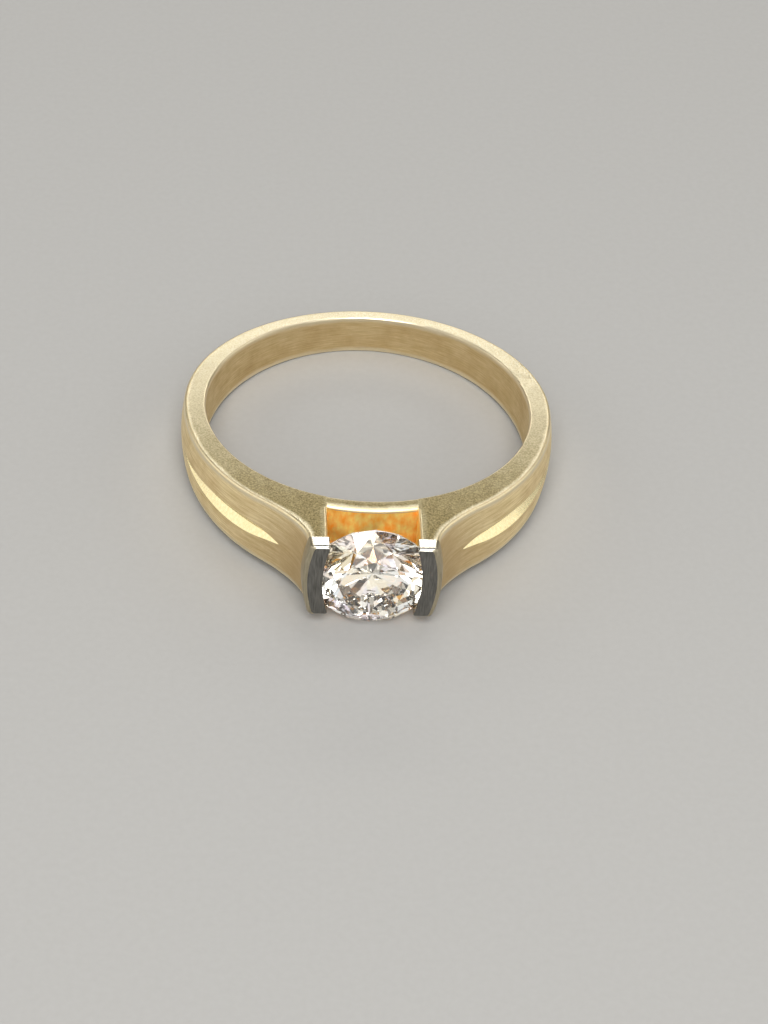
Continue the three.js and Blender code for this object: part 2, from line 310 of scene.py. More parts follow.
# %% The matrix that lays the ring down
EDGE_CHAMFER = 0.16  # the band rests where its outer edge is broken
rest_y = BACK_Y - dome_drop(BACK_WIDTH / 2) - EDGE_CHAMFER
TILT = -math.atan2(STONE_R - half_width(rest_y), rest_y - GIRDLE_FOOT_Y)
lay_down = Matrix.Rotation(TILT, 4, "X") @ Matrix.Scale(MM, 4)
print(f"the ring lies tilted by {math.degrees(-TILT):.2f} degrees")

# %% [markdown]
# ## Colour and node helpers
#
# Colours are written as sRGB hex values, as they are picked on a screen, and one function turns
# them into the linear values that shaders use. One helper adds any node, sets its properties, and
# fills its inputs with a value or with another node's output. Two more build what several metals
# share: a strip worn smooth along the edges, and the links from the finished patterns to the shader.


# %% Colour and nodes
FACTOR, FLOAT_A, FLOAT_B, COLOUR_A, COLOUR_B = 0, 2, 3, 6, 7  # the inputs of a Mix node by number
FLOAT_OUT, COLOUR_OUT = 0, 2  # and its outputs
SPREAD = {"From Min": 0.3, "From Max": 0.7}  # most of a noise texture lies between these


def linear(hex_colour):
    """An sRGB hex value as linear RGBA."""
    channels = [int(hex_colour[place : place + 2], 16) / 255 for place in (1, 3, 5)]
    return [((c + 0.055) / 1.055) ** 2.4 if c > 0.04045 else c / 12.92 for c in channels] + [1.0]


def add(tree, kind, inputs=None, **settings):
    """Adds a node, sets its properties, and fills its inputs with values or other nodes' outputs."""
    made = tree.nodes.new("ShaderNode" + kind)
    for name, value in settings.items():
        setattr(made, name, value)
    for socket, value in (inputs or {}).items():
        if isinstance(value, bpy.types.NodeSocket):
            tree.links.new(value, made.inputs[socket])
        else:
            made.inputs[socket].default_value = value
    return made


def new_material(name):
    """An empty node material: its tree, and the shader that everything feeds."""
    made = bpy.data.materials.new(name)
    made.use_nodes = True
    made.node_tree.nodes.clear()
    shader = add(made.node_tree, "BsdfPrincipled")
    add(made.node_tree, "OutputMaterial", {"Surface": shader.outputs["BSDF"]})
    return made, made.node_tree, shader


def worn_strip(tree, noise, width):
    """Falls from 1 at a rounded edge to 0 about that many mm from it, raggedly, as a noise says."""
    near_edge = add(tree, "Attribute", attribute_name="edge_mm", attribute_type="GEOMETRY")
    reach = add(tree, "Math", {0: noise, 1: -width, 2: near_edge.outputs["Fac"]}, operation="MULTIPLY_ADD")
    ends = {"From Min": -width / 2, "From Max": width / 2, "To Min": 1.0, "To Max": 0.0}
    strip = add(tree, "MapRange", {"Value": reach.outputs[0], **ends}, interpolation_type="SMOOTHSTEP")
    return strip.outputs[0]


def dress_metal(tree, shader, colour, roughness, height, strength, height_mm):
    """Feeds a metal's shader with its colour, its roughness and its fine relief."""
    bump = add(tree, "Bump", {"Height": height, "Strength": strength, "Distance": height_mm * MM})
    tree.links.new(colour, shader.inputs["Base Color"])
    tree.links.new(roughness, shader.inputs["Roughness"])
    tree.links.new(bump.outputs["Normal"], shader.inputs["Normal"])
    shader.inputs["Metallic"].default_value = 1.0


# %% [markdown]
# ## Satin yellow gold
#
# The band is 14 carat yellow gold. Its broad faces were drawn over fine abrasive and then lightly
# brushed along the band, which leaves short hair-fine lines in the direction of travel: they
# scatter the light, so the metal looks soft and a little browner than when it is polished. Skin
# and cloth burnish it along its edges and on the outside of the back. Oil darkens it in patches.
# Beside the head its colour is painted darker, as painted shade, and all of the bore is darker.
#
# The lines follow the metal round, so they can't be drawn in straight Object coordinates. The loft
# has left a vector on every vertex that says how far along the bar it is, how deep below the
# nearest face, and how far across, in millimetres. A noise texture stretched along that first
# direction draws the lines.


# %% Satin yellow gold
def satin_gold():
    made, tree, shader = new_material("gold_14ct_satin_brushed")
    line_length, line_width = 1.4, 0.075  # mm; real lines are half as wide, too fine to show
    line_height, line_strength = 0.04, 0.6  # mm, and how much of it the bump shows
    patch = 1.6  # mm, the size of a patch that the abrasive has cut a little deeper
    burnish = 0.3  # mm from an edge that handling has smoothed
    palm_from, palm_to = -2 * MM, 10 * MM  # along Y, where the hand begins to rub, and rubs fully
    # painted shade: along Y the colour is painted darker towards the head, most at the head itself
    head_shade_from, head_shade_to = -10.5 * MM, -5 * MM  # along Y, where the head is darkest, and where that ends
    oil_low, oil_high, most_oil = 0.4, 0.75, 0.45
    # how far the head is painted into shade, and how much darker the bore is
    most_head_shade, most_bore_darkening = 0.7, 0.4
    smooth_patch, rough_patch, worn_roughness = 0.60, 0.70, 0.3

    along = add(tree, "Attribute", attribute_name="grain_mm", attribute_type="GEOMETRY")
    stretch = add(
        tree,
        "Mapping",
        {"Vector": along.outputs["Vector"], "Scale": (1 / line_length, 1 / line_width, 1 / line_width)},
    )
    lines = add(
        tree,
        "TexNoise",
        {"Vector": stretch.outputs[0], "Scale": 1.0, "Detail": 3.0, "Roughness": 0.6},
    )
    patches = add(
        tree,
        "TexNoise",
        {"Vector": along.outputs["Vector"], "Scale": 1 / patch, "Detail": 4.0, "Roughness": 0.6},
    )

    # Worn bright: a ragged strip along each edge, and the outside of the back.
    paler_share = worn_strip(tree, patches.outputs["Fac"], burnish)
    place = add(tree, "TexCoord")
    towards_back = add(tree, "SeparateXYZ", {0: place.outputs["Object"]})
    palm = add(
        tree,
        "MapRange",
        {"Value": towards_back.outputs["Y"], "From Min": palm_from, "From Max": palm_to},
        interpolation_type="SMOOTHSTEP",
    )
    depth = add(tree, "SeparateXYZ", {0: along.outputs["Vector"]})
    outside = add(tree, "MapRange", {"Value": depth.outputs["Y"], "From Min": 0.0, "From Max": -OUTSIDE})
    carried = add(tree, "Math", {0: palm.outputs[0], 1: outside.outputs[0]}, operation="MULTIPLY")
    worn = add(tree, "Math", {0: paler_share, 1: carried.outputs[0]}, operation="MAXIMUM")

    # Darker: oil in patches, painted shade beside the head, and all of the bore.
    oil = add(
        tree,
        "MapRange",
        {"Value": patches.outputs["Fac"], "From Min": oil_low, "From Max": oil_high, "To Max": most_oil},
    )
    # painted shade: darker towards the head
    head = add(
        tree,
        "MapRange",
        {
            "Value": towards_back.outputs["Y"],
            **{"From Min": head_shade_from, "From Max": head_shade_to, "To Min": most_head_shade, "To Max": 0.0},
        },
        interpolation_type="SMOOTHSTEP",
    )
    # darker all over the bore
    bore_darkening = add(
        tree,
        "MapRange",
        {"Value": depth.outputs["Y"], "From Min": -OUTSIDE, "From Max": 0.0, "To Max": most_bore_darkening},
    )

    # The colour of the lines first, then each of those laid over it.
    contrast = add(tree, "MapRange", {"Value": lines.outputs["Fac"], **SPREAD})
    colour = add(
        tree,
        "Mix",
        {FACTOR: contrast.outputs[0], COLOUR_A: linear("#DBC592"), COLOUR_B: linear("#FFEFC6")},
        data_type="RGBA",
    )
    # the head's colour is painted shade, the bore is only darker, and the oil and worn colours belong to
    # the metal
    for layer, hex_colour in ((oil, "#B99A68"), (head, "#AF946A"), (bore_darkening, "#A98C58"), (worn, "#F7E9C8")):
        colour = add(
            tree,
            "Mix",
            {FACTOR: layer.outputs[0], COLOUR_A: colour.outputs[COLOUR_OUT], COLOUR_B: linear(hex_colour)},
            data_type="RGBA",
        )
    satin = add(
        tree,
        "MapRange",
        {"Value": patches.outputs["Fac"], **SPREAD, "To Min": smooth_patch, "To Max": rough_patch},
    )
    roughness = add(
        tree,
        "Mix",
        {FACTOR: worn.outputs[0], FLOAT_A: satin.outputs[0], FLOAT_B: worn_roughness},
        data_type="FLOAT",
    )
    tint, gloss = colour.outputs[COLOUR_OUT], roughness.outputs[FLOAT_OUT]
    dress_metal(tree, shader, tint, gloss, lines.outputs["Fac"], line_strength, line_height)
    return made


SATIN_GOLD = satin_gold()
print("made", SATIN_GOLD.name)

# %% [markdown]
# ## Blasted yellow gold
#
# The two flat sides of the ring were left from the blasting cabinet: fine grit has pitted them
# evenly, so they look grainy and duller than the brushed faces. Their colour is painted light
# towards the back of the band and painted shade next to the head: a lit and a shaded copy of the
# same grit, mixed along Y. Handling smooths the outer edges, and there the pale copy is used too.
#
# The pits have no direction, so plain Object coordinates do. A fine noise gives the grit, the
# position along Y, which runs from the head to the back, gives the change from painted shade to
# painted light, and the loft's distance from the edge gives the smoothed strip.


# %% Blasted yellow gold
def blasted_gold():
    made, tree, shader = new_material("gold_14ct_grit_blasted")
    pit = 0.09  # mm; real pits are a quarter of that, too fine to show
    pit_depth, pit_strength = 0.02, 0.5  # mm, and how much of it the bump shows
    pit_low, pit_high = 0.32, 0.68
    cloud = 0.9  # mm, the size of the patches that make the change uneven
    cloud_shift = 5 * MM  # how far they shift it along Y
    # along Y, where the painted shade ends and where the painted light is full
    painted_shade_to, painted_light_from = -7.5 * MM, 12 * MM
    smoothed = 0.36  # mm from an edge, where handling has closed the pits
    bore_share = 0.25  # how much of that the edges of the bore get
    dull_roughness, bright_roughness = 0.66, 0.4

    place = add(tree, "TexCoord")
    grit = add(
        tree,
        "TexNoise",
        {"Vector": place.outputs["Object"], "Scale": 1 / (pit * MM), "Detail": 2.0, "Roughness": 0.7},
    )
    clouds = add(
        tree,
        "TexNoise",
        {"Vector": place.outputs["Object"], "Scale": 1 / (cloud * MM), "Detail": 4.0},
    )

    # Painted light towards the back and painted shade towards the head, with an uneven border.
    where = add(tree, "SeparateXYZ", {0: place.outputs["Object"]})
    uneven = add(
        tree,
        "Math",
        {0: clouds.outputs["Fac"], 1: cloud_shift, 2: where.outputs["Y"]},
        operation="MULTIPLY_ADD",
    )
    paler_share = add(
        tree,
        "MapRange",
        {"Value": uneven.outputs[0], "From Min": painted_shade_to, "From Max": painted_light_from},
        interpolation_type="SMOOTHSTEP",
    )

    # Smoothed along the outer edges, and less along the bore.
    at_edge = worn_strip(tree, clouds.outputs["Fac"], smoothed)
    grain = add(tree, "Attribute", attribute_name="grain_mm", attribute_type="GEOMETRY")
    depth = add(tree, "SeparateXYZ", {0: grain.outputs["Vector"]})
    outer = add(
        tree,
        "MapRange",
        {"Value": depth.outputs["Y"], "From Min": 0.0, "From Max": -OUTSIDE, "To Min": bore_share},
    )
    touched = add(tree, "Math", {0: at_edge, 1: outer.outputs[0]}, operation="MULTIPLY")
    # painted light towards the back, and wear along the edges, which takes the same pale colour
    lit_and_worn = add(tree, "Math", {0: paler_share.outputs[0], 1: touched.outputs[0]}, operation="MAXIMUM")

    contrast = add(
        tree,
        "MapRange",
        {"Value": grit.outputs["Fac"], "From Min": pit_low, "From Max": pit_high},
    )
    # a shaded copy of the grit, painted shade, and a lit copy, painted light, which the worn edges also
    # take
    dull, bright = (
        add(
            tree,
            "Mix",
            {FACTOR: contrast.outputs[0], COLOUR_A: linear(pits), COLOUR_B: linear(rims)},
            data_type="RGBA",
        )
        for pits, rims in (("#7B6F4B", "#C8B787"), ("#EBDDB4", "#FFF8E2"))
    )
    colour = add(
        tree,
        "Mix",
        {
            FACTOR: lit_and_worn.outputs[0],
            COLOUR_A: dull.outputs[COLOUR_OUT],
            COLOUR_B: bright.outputs[COLOUR_OUT],
        },
        data_type="RGBA",
    )
    roughness = add(
        tree,
        "MapRange",
        {"Value": lit_and_worn.outputs[0], "To Min": dull_roughness, "To Max": bright_roughness},
    )
    tint, gloss = colour.outputs[COLOUR_OUT], roughness.outputs[0]
    dress_metal(tree, shader, tint, gloss, grit.outputs["Fac"], pit_strength, pit_depth)
    return made


BLASTED_GOLD = blasted_gold()
print("made", BLASTED_GOLD.name)

# %% [markdown]
# ## Polished and worn metals
#
# The other finishes differ only by degree. The groove and the ends and inner sides of the tips were
# finished with a felt wheel and rouge. The faces of the tips were brushed and then plated with
# rhodium, and their colour is painted dark grey, as painted shade. The rounded edges have been
# burnished by wear, the white ones as well, where the plating is thin and warmer metal shows. Inside
# the head, where a wheel hardly reaches, the gold stayed rough. Its colour there is painted paler and
# deeper yellow, painted light for the glow of light thrown between the gold faces.
#
# Even a buffed face is never a perfect mirror: the wheel leaves faint parallel swirls, and use adds
# fine scratches. The wheel works across the ring, so the lines run along Z and straight Object
# coordinates draw them. All these finishes share one recipe, and differ in colour, roughness and
# the size of their lines, so one function makes them.


# %% Polished and worn yellow and white gold
def polished_metal(name, body, shade, roughness, width_mm, length_mm, strength):
    made, tree, shader = new_material(name)
    cloud_mm = 1.1  # the size of a smear that makes the gloss uneven
    smear = roughness * 0.25
    streak_height = 0.01  # mm
    across, down = 1 / (width_mm * MM), 1 / (length_mm * MM)

    place = add(tree, "TexCoord")
    stretch = add(tree, "Mapping", {"Vector": place.outputs["Object"], "Scale": (across, across, down)})
    streaks = add(
        tree,
        "TexNoise",
        {"Vector": stretch.outputs[0], "Scale": 1.0, "Detail": 2.0, "Roughness": 0.5},
    )
    cloud = add(
        tree,
        "TexNoise",
        {"Vector": place.outputs["Object"], "Scale": 1 / (cloud_mm * MM), "Detail": 3.0},
    )
    contrast = add(tree, "MapRange", {"Value": streaks.outputs["Fac"], **SPREAD})
    colour = add(
        tree,
        "Mix",
        {FACTOR: contrast.outputs[0], COLOUR_A: linear(body), COLOUR_B: linear(shade)},
        data_type="RGBA",
    )
    gloss = add(
        tree,
        "MapRange",
        {"Value": cloud.outputs["Fac"], **SPREAD, "To Min": roughness - smear, "To Max": roughness + smear},
    )
    tint = colour.outputs[COLOUR_OUT]
    dress_metal(tree, shader, tint, gloss.outputs[0], streaks.outputs["Fac"], strength, streak_height)
    return made


RECIPES = (
    # name, two colours, roughness, width and length of a line in mm, strength of the relief
    ("gold_14ct_buffed", "#FDF0C2", "#F5E3B0", 0.2, 0.12, 2.0, 0.12),
    ("gold_14ct_burnished", "#FFF1CC", "#FAE6B8", 0.42, 0.12, 2.0, 0.1),
    # painted light: paler and deeper yellow than the band, for the glow inside the head
    ("gold_14ct_rough_inside_painted_glow", "#FFF0A2", "#FFC75C", 0.8, 0.3, 0.6, 0.6),
    ("white_gold_rhodium_buffed", "#DCD7CA", "#C9C4B8", 0.16, 0.09, 2.0, 0.25),
    ("white_gold_burnished", "#BFB59C", "#A69C84", 0.4, 0.09, 2.0, 0.2),
    # painted shade: the tips' faces are painted dark grey
    ("white_gold_face_brushed_painted_shade", "#8B8984", "#676662", 0.2, 0.07, 1.2, 0.4),
)
METALS = [polished_metal(*recipe) for recipe in RECIPES]
POLISHED_GOLD, BURNISHED_GOLD, WINDOW_GOLD_PAINTED_GLOW, WHITE_GOLD, RUBBED_WHITE, FACE_WHITE_PAINTED_SHADE = METALS
print("made", ", ".join(metal.name for metal in METALS))

# %% [markdown]
# ## Diamond
#
# A diamond is clear and bends light more than any other gem, which is why its facets can throw
# nearly all the light that enters back out of the top. The facets are polished on a lap, flat and
# sharp. The girdle, the thin band round the widest place, was only ground, so it is frosted.
#
# Glass with an index of refraction of 2.417 does the rest. The colour is a trace of yellow, as in
# most stones that aren't of the very top grade, with a faint unevenness inside. A real diamond also
# splits white light into colours, its fire. A path tracer with one index for all colours can't, so
# each facet carries a faint tint of its own, which the many reflections inside mix and strengthen.


# %% Diamond
def diamond(name, roughness):
    made, tree, shader = new_material(name)
    zone = 1.2  # mm, the size of a faintly tinted zone in the crystal
    place = add(tree, "TexCoord")
    zones = add(
        tree,
        "TexNoise",
        {"Vector": place.outputs["Object"], "Scale": 1 / (zone * MM), "Detail": 2.0},
    )
    body = add(
        tree,
        "Mix",
        {FACTOR: zones.outputs["Fac"], COLOUR_A: linear("#FFFFFC"), COLOUR_B: linear("#FBF8F0")},
        data_type="RGBA",
    )
    fire = add(tree, "Attribute", attribute_name="fire", attribute_type="GEOMETRY")
    colour = add(
        tree,
        "Mix",
        {FACTOR: 1.0, COLOUR_A: body.outputs[COLOUR_OUT], COLOUR_B: fire.outputs["Color"]},
        data_type="RGBA",
        blend_type="MULTIPLY",
    )
    tree.links.new(colour.outputs[COLOUR_OUT], shader.inputs["Base Color"])
    shader.inputs["IOR"].default_value = 2.417
    shader.inputs["Roughness"].default_value = roughness
    shader.inputs["Transmission Weight"].default_value = 1.0
    return made


DIAMOND = diamond("diamond_facets_lapped", roughness=0.0)
GIRDLE = diamond("diamond_girdle_ground", roughness=0.35)
print("made", DIAMOND.name, GIRDLE.name)

# %% [markdown]
# ## From a mesh to a piece
#
# Every piece ends the same way: it is laid down, its faces are turned outwards and softened, and
# it takes the place of its plain solid in the frame.

# %% Finish a piece
GOLD = [SATIN_GOLD, POLISHED_GOLD, BURNISHED_GOLD, WINDOW_GOLD_PAINTED_GLOW, BLASTED_GOLD]
SATIN, POLISHED, BURNISHED, WINDOW, BLASTED = range(5)
FINISHES = {"groove": POLISHED, "edge": BURNISHED, "side": BLASTED}


def piece(name, mesh, materials, mirrored=False):
    """Lays a mesh down as the piece that stands for the CAD node of the same name."""
    if mirrored:
        bmesh.ops.scale(mesh, vec=(-1, 1, 1), verts=mesh.verts)
    bmesh.ops.transform(mesh, matrix=LAID, verts=mesh.verts)
    soften(mesh)
    data = bpy.data.meshes.new(name)
    mesh.to_mesh(data)
    mesh.free()
    for material in materials:
        data.materials.append(material)
    made = bpy.data.objects.new("ring_" + name, data)
    bpy.context.scene.collection.objects.link(made)
    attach(made, "root")
    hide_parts(name)
    print(f"{made.name}: {len(data.polygons)} faces")
    return made


# %% [markdown]
# ## The stone
#
# A round brilliant is cut the way it is modelled here: a cylinder is sliced by planes, one facet
# at a time. The table comes first, then eight main facets above and below, eight stars round the
# table, and sixteen halves above and below the girdle. bisect_plane cuts and throws away what lies
# outside, and edgeloop_fill closes the cut with one flat facet.


# %% Cut the brilliant
FIRE = ("#FFFFFF", "#FFFCF4", "#FFF0E8", "#FFF4D8", "#F8EEFF", "#F2F8FF")  # faint tints of the facets
FIRE_SEED = 57
ROUND_SEGMENTS = 128  # of the girdle
CUT_TOLERANCE = 1e-5  # mm
GIRDLE_SLOPE = 0.05  # a face that looks along the stone's axis less than this is girdle


def facet(mesh, azimuth, radius, height, angle, side=1):
    """Cuts one facet through a point at that radius and height, tilted by an angle from level."""
    across = math.sin(angle)
    normal = (across * math.cos(azimuth), across * math.sin(azimuth), side * math.cos(angle))
    spot = (radius * math.cos(azimuth), radius * math.sin(azimuth), height)
    parts = mesh.verts[:] + mesh.edges[:] + mesh.faces[:]
    cut = bmesh.ops.bisect_plane(
        mesh, geom=parts, dist=CUT_TOLERANCE, plane_co=spot, plane_no=normal, clear_outer=True
    )
    rim = [part for part in cut["geom_cut"] if isinstance(part, bmesh.types.BMEdge)]
    if rim:
        bmesh.ops.edgeloop_fill(mesh, edges=rim)


def brilliant():
    """The stone with its table up along Z and the top of its girdle at zero."""
    eighth = math.radians(45)
    table_r = STONE_R * TABLE_SHARE
    crown_height = (STONE_R - table_r) * math.tan(CROWN_ANGLE)
    table_edge = table_r * math.cos(eighth / 2)
    star_tip = table_edge + STAR_SHARE * (STONE_R - table_edge)
    star_height = (STONE_R - star_tip * math.cos(eighth / 2)) * math.tan(CROWN_ANGLE)
    lower_tip = STONE_R * (1 - LOWER_HALF_SHARE)
    lower_depth = (STONE_R - lower_tip * math.cos(eighth / 2)) * math.tan(PAVILION_ANGLE)
    flat_r = STONE_R * math.cos(eighth / 4)
    star_angle = math.atan2(crown_height - star_height, star_tip - table_edge)
    upper_angle = math.atan2(star_height, flat_r - star_tip * math.cos(eighth / 4))
    lower_angle = math.atan2(lower_depth, flat_r - lower_tip * math.cos(eighth / 4))
    mesh = bmesh.new()
    bmesh.ops.create_cone(
        mesh, cap_ends=True, segments=ROUND_SEGMENTS, radius1=STONE_R, radius2=STONE_R, depth=2 * STONE_R
    )
    facet(mesh, azimuth=0.0, radius=0.0, height=crown_height, angle=0.0)
    for number in range(8):
        main = number * eighth
        facet(mesh, main, STONE_R, 0.0, CROWN_ANGLE)
        facet(mesh, main, STONE_R, -GIRDLE_THICKNESS, PAVILION_ANGLE, side=-1)
        facet(mesh, main + eighth / 2, table_edge, crown_height, star_angle)
        for half in (main + eighth / 4, main - eighth / 4):
            facet(mesh, half, flat_r, 0.0, upper_angle)
            facet(mesh, half, flat_r, -GIRDLE_THICKNESS, lower_angle, side=-1)
    bmesh.ops.remove_doubles(mesh, verts=mesh.verts, dist=MERGE)
    bmesh.ops.rotate(mesh, matrix=Matrix.Rotation(math.pi / 2, 3, "X"), verts=mesh.verts)
    bmesh.ops.translate(mesh, vec=(0, GIRDLE_TOP_Y, 0), verts=mesh.verts)
    return mesh


stone = brilliant()
bmesh.ops.recalc_face_normals(stone, faces=stone.faces)
fire = stone.faces.layers.float_color.new("fire")
tints = [linear(tint) for tint in FIRE]
shuffled = random.Random(FIRE_SEED)
for face in stone.faces:
    face.material_index = int(abs(face.normal.y) < GIRDLE_SLOPE)
    face[fire] = Vector(shuffled.choice(tints))
print(f"the stone has {sum(face.material_index == 0 for face in stone.faces)} facets")

# %% [markdown]
# The stone's own box, tilted, is laid over the box of the frame's stone, and that gives the shift
# which every other piece takes as well.

# %% Where the frame has it
tilted = [lay_down @ vert.co for vert in stone.verts]
tilted_low = Vector([min(spot[axis] for spot in tilted) for axis in range(3)])
tilted_high = Vector([max(spot[axis] for spot in tilted) for axis in range(3)])
frame_low, frame_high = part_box("diamond")
shift = (frame_low + frame_high - tilted_low - tilted_high) / 2
LAID = Matrix.Translation(shift) @ lay_down
print("shift in mm:", [round(value / MM, 4) for value in shift])
mismatch = (frame_high - frame_low) - (tilted_high - tilted_low)
print("box mismatch in mm:", [round(value / MM, 4) for value in mismatch])
brilliant_piece = piece("diamond", stone, [DIAMOND, GIRDLE])
for polygon in brilliant_piece.data.polygons:
    polygon.use_smooth = False

# %% [markdown]
# ## The band
#
# The back three quarters of the ring are one strip of gold, bent round a mandrel and filed thinner
# towards the back. Its section goes round the bore in small steps.

# %% Band and its soldered joints
SHOULDER_START = 80.0  # degrees from the stone
JOINT_DEGREES = math.degrees(JOINT / BORE_R)
EDGE_R = 0.17  # rounded outer edges of the gold
BORE_EDGE_R = 0.1  # rounded edges along the bore
SHANK_STEPS = 140


def band_stretch(start, stop, steps):
    """A stretch of band between two angles about the finger."""
    stations = []
    rows = []
    for step in range(steps + 1):
        degrees = mix(start, stop, step / steps)
        inner, crown = polar(BORE_R, degrees), crown_at(degrees)
        section = half_section((crown - inner).length, half_width(crown.y), EDGE_R, BORE_EDGE_R)
        rows.append(section)
        stations.append(station(inner, crown, section))
    finishes = {**FINISHES, "groove": SATIN}
    return loft(stations, rows, lambda face, place: finishes.get(face, SATIN))


shank_end = SHOULDER_START + JOINT_DEGREES
shank = band_stretch(-shank_end, shank_end - 360, SHANK_STEPS)
piece("shank", shank, GOLD)
for side in ("right", "left"):
    joint = band_stretch(shank_end, SHOULDER_START, steps=1)
    piece(f"solder_shank_{side}", joint, GOLD, mirrored=side == "left")

# %% [markdown]
# ## The shoulders
#
# Each shoulder leaves the band a quarter turn from the stone, grows wider and deeper, and sweeps up
# into a straight wall. A V-shaped groove was cut along its crown line with a graver. It is deepest
# a little nearer the head and runs out to a point at both ends, and its two faces are polished, so
# it catches the light as one bright stroke.
#
# The bore side follows the finger as far as the bar and then goes straight up beside the stone.
# The outer side follows the ellipse and then the sweep. Where the stone's edge passes over the
# wall, the metal is cut back to the shape of the stone, as the setter's burr cuts its seat.

# %% Shoulder
SWEEP_START = 33.0  # degrees, where the outside starts to sweep up
SWEEP_PULL, WALL_PULL = 1.4, 0.8  # mm, the curve's handles at the band and at the wall's top
GROOVE_START = 79.0  # degrees
GROOVE_END = 0.41  # share of the sweep that the groove runs into
GROOVE_DEPTH = 0.31
GROOVE_SKEW = 1.45  # above 1 the groove is deepest nearer the head, and ends bluntly there
WINDOW_DEGREES = math.degrees(math.asin(WINDOW_X / BORE_R))
WINDOW_EDGE_R = 0.13  # rounded edges round the window, once clear of the bar
FIRST_EDGE_R = 0.004  # their radius where they begin, at the bar
EDGE_GROWTH = 2.0  # mm that it gains for each mm up the wall
BAND_STEPS, WALL_STEPS = 84, 56


def shoulder_lines():
    """Pairs of a point on the inner line and one on the crown line, from the band to the wall's top."""
    pairs = []
    for step in range(BAND_STEPS + 1):
        share = step / BAND_STEPS
        inner = polar(BORE_R, mix(SHOULDER_START, WINDOW_DEGREES, share))
        pairs.append((inner, crown_at(mix(SHOULDER_START, SWEEP_START, share))))
    start = crown_at(SWEEP_START)
    onward = (start - crown_at(SWEEP_START + 1)).normalized()
    top = Vector((wall_outer_x(WALL_TOP_Y), WALL_TOP_Y))
    wall_way = Vector((math.sin(WALL_LEAN), math.cos(WALL_LEAN)))
    handles = (start + onward * SWEEP_PULL, top + wall_way * WALL_PULL)
    sweep = interpolate_bezier(start, *handles, top, WALL_STEPS + 1)
    corner, inside_top = pairs[-1][0], Vector((WINDOW_X, WALL_TOP_Y))
    for step in range(1, WALL_STEPS + 1):
        pairs.append((corner.lerp(inside_top, step / WALL_STEPS), sweep[step].to_2d()))
    return pairs


def groove_depths(crowns):
    """How deep the groove is at each point of the crown line, measured square to it."""
    lengths = [0.0]
    for before, after in zip(crowns, crowns[1:]):
        lengths.append(lengths[-1] + (after - before).length)
    start = (crown_at(GROOVE_START) - crowns[0]).length
    stop = lengths[BAND_STEPS] + GROOVE_END * (lengths[-1] - lengths[BAND_STEPS])
    shares = [max(0.0, (length - start) / (stop - start)) ** GROOVE_SKEW for length in lengths]
    return [max(0.0, GROOVE_DEPTH * (1 - (2 * share - 1) ** 2)) for share in shares]


def shoulder():
    pairs = shoulder_lines()
    crowns = [crown for _, crown in pairs]
    depths = groove_depths(crowns)
    bridge_foot = -math.sqrt(BRIDGE_R**2 - WINDOW_X**2)
    stations = []
    rows = []
    for place, (inner, crown) in enumerate(pairs):
        before, after = crowns[max(place - 1, 0)], crowns[min(place + 1, len(crowns) - 1)]
        way = (after - before).normalized()
        square = abs((crown - inner).normalized().cross(way))
        inner_r = BORE_EDGE_R
        if place > BAND_STEPS:
            inner_r = min(WINDOW_EDGE_R, max(FIRST_EDGE_R, (bridge_foot - inner.y) * EDGE_GROWTH))
        section = half_section(
            (crown - inner).length, half_width(crown.y), EDGE_R, inner_r, groove=depths[place] / square
        )
        points = station(inner, crown, section)
        for spot in points:
            spot.x = max(spot.x, stone_room(spot.y, spot.z))
        rows.append(section)
        stations.append(points)

    def finish(face, place):
        if face in ("inner", "inner_edge") and place > BAND_STEPS:
            return WINDOW if face == "inner" else BURNISHED
        if face == "groove" and place and depths[place] + depths[place - 1] == 0:
            return SATIN
        return FINISHES.get(face, SATIN)

    return loft(stations, rows, finish)


for side in ("right", "left"):
    piece(f"shoulder_{side}", shoulder(), GOLD, mirrored=side == "left")

# %% [markdown]
# ## The bar under the stone
#
# A short bar closes the finger hole between the two walls. It follows the bore inside, and its
# front edge is well rounded, which shows as a bright line above the stone. The face that looks at
# the stone was left rough. Light goes back and forth between it and the walls, and takes on more of
# the gold's colour each time, so it glows deep orange. Its colour is also painted paler and deeper
# yellow than the band's, painted light that adds to that glow.


# %% Bar across the finger hole
BAR_EDGE_R = 0.2
BAR_STEPS = 40


def bar(start, stop, steps):
    stations = []
    rows = []
    for step in range(steps + 1):
        x = mix(start, stop, step / steps)
        inner = Vector((x, -math.sqrt(BORE_R**2 - x * x)))
        crown = Vector((x, -math.sqrt(BRIDGE_R**2 - x * x)))
        thickness = (crown - inner).length
        section = half_section(thickness, half_width(crown.y), BAR_EDGE_R, BORE_EDGE_R, dome=0.0)
        rows.append(section)
        stations.append(station(inner, crown, section))
    finishes = {"edge": BURNISHED, "outer": WINDOW, "groove": WINDOW, "side": BLASTED}
    return loft(stations, rows, lambda face, place: finishes.get(face, SATIN))


bridge = bar(WINDOW_X - JOINT, JOINT - WINDOW_X, BAR_STEPS)
piece("gallery_bridge", bridge, GOLD)
for side in ("right", "left"):
    joint = bar(WINDOW_X, WINDOW_X - JOINT, steps=1)
    piece(f"solder_bridge_{side}", joint, GOLD, mirrored=side == "left")

# %% [markdown]
# ## The white tips
#
# A crescent of white gold is soldered on top of each wall, because white metal beside the stone
# keeps it looking white. It laps over the edge of the stone and holds it, so its inner side has a
# notch in the stone's own shape. Its face was filed flat, and the outer edge of that face rounded.

# %% Tips and the solder under them
FACE_EDGE_R = 0.22  # rounded outer edge of a tip's face
FACE_END_R = 0.09  # rounded ends of the face
TIP_STEPS = 26
FACE_ARC_STEPS = 8
